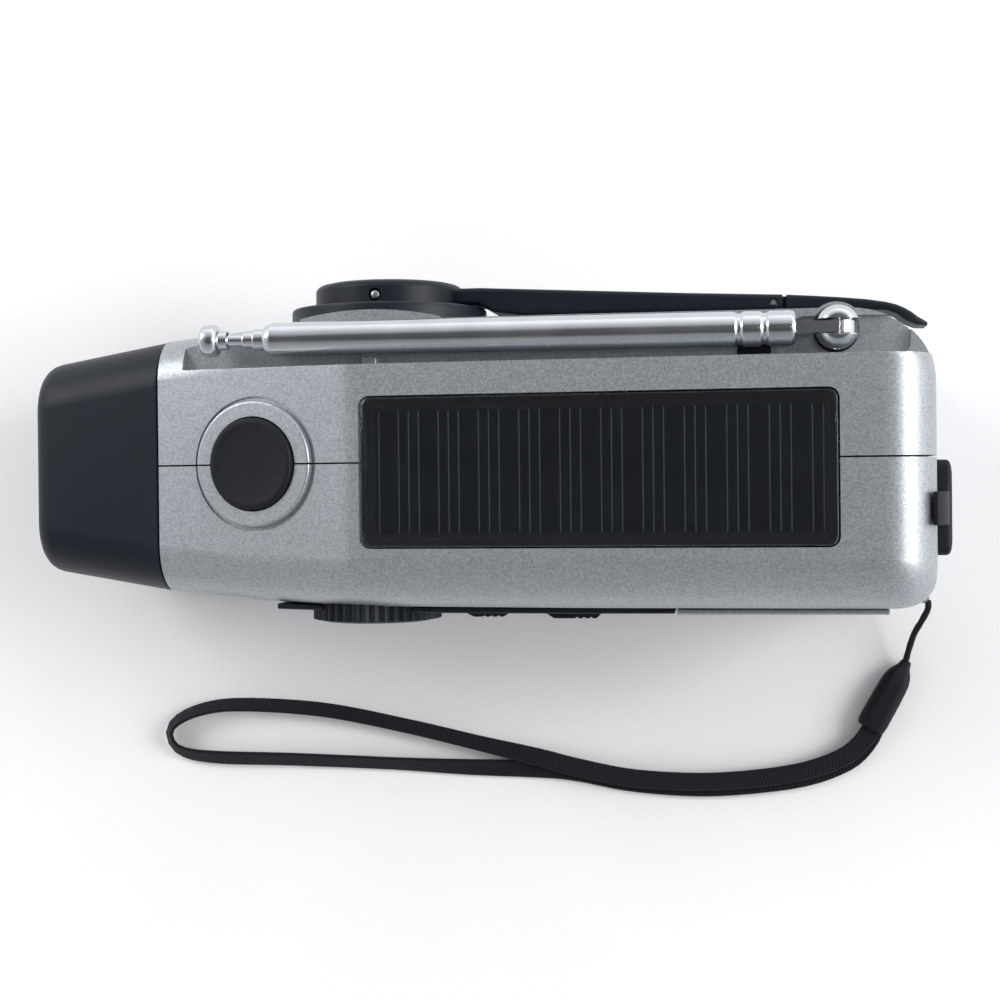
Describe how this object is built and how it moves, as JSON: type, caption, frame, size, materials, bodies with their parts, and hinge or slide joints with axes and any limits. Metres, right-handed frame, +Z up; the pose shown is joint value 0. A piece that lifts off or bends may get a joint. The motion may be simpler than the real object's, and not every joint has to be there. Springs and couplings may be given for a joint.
{
  "type": "emergency radio",
  "caption": "Hand-crank emergency radio with a flashlight head, solar window, folding telescopic antenna, tuning knob, slide switches, jack flap and a wrist strap.",
  "frame": {"origin": "on the surface the radio stands on, under the middle of its box measured without the wrist strap", "axes": "+X along the length towards the jack end (the flashlight shines along -X), +Y to the crank side, +Z up"},
  "size_m": [0.168, 0.1001, 0.06],
  "materials": {
    "silver_abs": "silver metallic paint on moulded ABS, fine sparkle grain, satin",
    "black_abs": "fine-textured black ABS, satin",
    "black_rubber": "matte black moulded rubber",
    "clear_plastic": "clear polished polycarbonate",
    "reflector_chrome": "vacuum-metallised bowl",
    "antenna_chrome": "bright nickel-chrome plate on brass tube",
    "steel": "zinc-plated steel",
    "solar_silicon": "dark silicon with fine conductor lines",
    "circuit_board": "green solder mask on glass fibre",
    "nylon": "natural moulded acetal",
    "copper_winding": "enamelled copper winding in its case",
    "ferrite": "sintered ferrite, matte",
    "paper_cone": "pressed paper pulp",
    "battery_wrap": "heat-shrink sleeve over the cells",
    "strap_webbing": "flat woven polyester cord"
  },
  "bodies": {
    "housing": {"front_shell": "silver_abs", "rear_shell": "silver_abs", "speaker_grille": "silver_abs", "head_bezel": "black_abs", "crank_bezel": "black_abs", "dial_plate": "black_abs", "battery_cover": "black_abs", "light_switch": "black_abs", "earphone_jack": "black_abs", "antenna_washer": "black_rubber", "antenna_rest": "black_rubber", "foot_1": "black_rubber", "foot_2": "black_rubber", "foot_3": "black_rubber", "foot_4": "black_rubber", "strap_sleeve": "black_rubber", "lens": "clear_plastic", "window_cover": "clear_plastic", "flashlight_led": "clear_plastic", "reflector": "reflector_chrome", "idler_axle": "steel", "gear_plate": "steel", "case_screw_1": "steel", "case_screw_2": "steel", "case_screw_3": "steel", "strap_eyelet": "steel", "speaker_frame": "steel", "usb_socket": "steel", "power_switch_body": "steel", "band_switch_body": "steel", "solar_cell": "solar_silicon", "led_board": "circuit_board", "main_board": "circuit_board", "tuning_capacitor": "nylon", "dynamo_stator": "copper_winding", "ferrite_rod": "ferrite", "speaker_magnet": "ferrite", "speaker_cone": "paper_cone", "battery_pack": "battery_wrap", "strap_cord": "strap_webbing", "strap_band": "strap_webbing"},
    "light_button": {"light_button": "black_rubber"},
    "antenna_base": {"antenna_base": "antenna_chrome", "antenna_pin": "steel"},
    "antenna_tube": {"antenna_tube": "antenna_chrome"},
    "antenna_stage_2": {"antenna_stage_2": "antenna_chrome"},
    "antenna_stage_3": {"antenna_stage_3": "antenna_chrome"},
    "antenna_rod": {"antenna_rod": "antenna_chrome"},
    "crank": {"crank_handle": "black_abs", "crank_shaft": "steel", "crank_cross_pin": "steel", "grip_pin": "steel", "crank_gear": "nylon"},
    "crank_grip": {"crank_grip": "black_abs"},
    "idler": {"idler_gear": "nylon"},
    "rotor": {"dynamo_rotor": "steel"},
    "tuning_knob": {"tuning_knob": "black_abs"},
    "power_slider": {"power_slider": "black_abs"},
    "band_slider": {"band_slider": "black_abs"},
    "jack_flap": {"jack_flap": "black_rubber"}
  },
  "joints": [
    {"name": "light_button_press", "type": "slide", "parent": "housing", "child": "light_button", "axis": [0.225, 0, -0.9744], "range_m": [0, 0.0012], "stiffness_N_per_m": 400},
    {"name": "antenna_swivel", "type": "hinge", "parent": "housing", "child": "antenna_base", "pos_m": [0.0644, 0.0196, 0.0513], "axis": [0, 0, 1], "range_deg": [-180, 0]},
    {"name": "antenna_tilt", "type": "hinge", "parent": "antenna_base", "child": "antenna_tube", "pos_m": [0.0644, 0.0196, 0.0513], "axis": [0, 1, 0], "range_deg": [0, 90]},
    {"name": "antenna_slide_2", "type": "slide", "parent": "antenna_tube", "child": "antenna_stage_2", "axis": [-1, 0, 0], "range_m": [0, 0.076]},
    {"name": "antenna_slide_3", "type": "slide", "parent": "antenna_stage_2", "child": "antenna_stage_3", "axis": [-1, 0, 0], "range_m": [0, 0.076]},
    {"name": "antenna_slide_rod", "type": "slide", "parent": "antenna_stage_3", "child": "antenna_rod", "axis": [-1, 0, 0], "range_m": [0, 0.076]},
    {"name": "crank_spin", "type": "hinge", "parent": "housing", "child": "crank", "pos_m": [-0.018, 0.0145, 0.028], "axis": [0, 1, 0], "continuous": true},
    {"name": "grip_fold", "type": "hinge", "parent": "crank", "child": "crank_grip", "pos_m": [0.054, 0.02605, 0.028], "axis": [0, 0, 1], "range_deg": [0, 90]},
    {"name": "idler_spin", "type": "hinge", "parent": "housing", "child": "idler", "pos_m": [0.002, 0.012, 0.028], "axis": [0, 1, 0], "continuous": true},
    {"name": "rotor_spin", "type": "hinge", "parent": "housing", "child": "rotor", "pos_m": [0.02, 0.008, 0.028], "axis": [0, 1, 0], "continuous": true},
    {"name": "tuning_turn", "type": "hinge", "parent": "housing", "child": "tuning_knob", "pos_m": [-0.0193, -0.028, 0.036], "axis": [0, 1, 0], "range_deg": [-135, 135]},
    {"name": "power_slide", "type": "slide", "parent": "housing", "child": "power_slider", "axis": [1, 0, 0], "range_m": [0, 0.004]},
    {"name": "band_slide", "type": "slide", "parent": "housing", "child": "band_slider", "axis": [1, 0, 0], "range_m": [0, 0.004]},
    {"name": "jack_flap_hinge", "type": "hinge", "parent": "housing", "child": "jack_flap", "pos_m": [0.0822, -0.0114, 0.0176], "axis": [0, 1, 0], "range_deg": [0, 110]}
  ],
  "couplings": [
    {"joint": "idler_spin", "follows": "crank_spin", "ratio": -3},
    {"joint": "rotor_spin", "follows": "crank_spin", "ratio": 10.5}
  ]
}
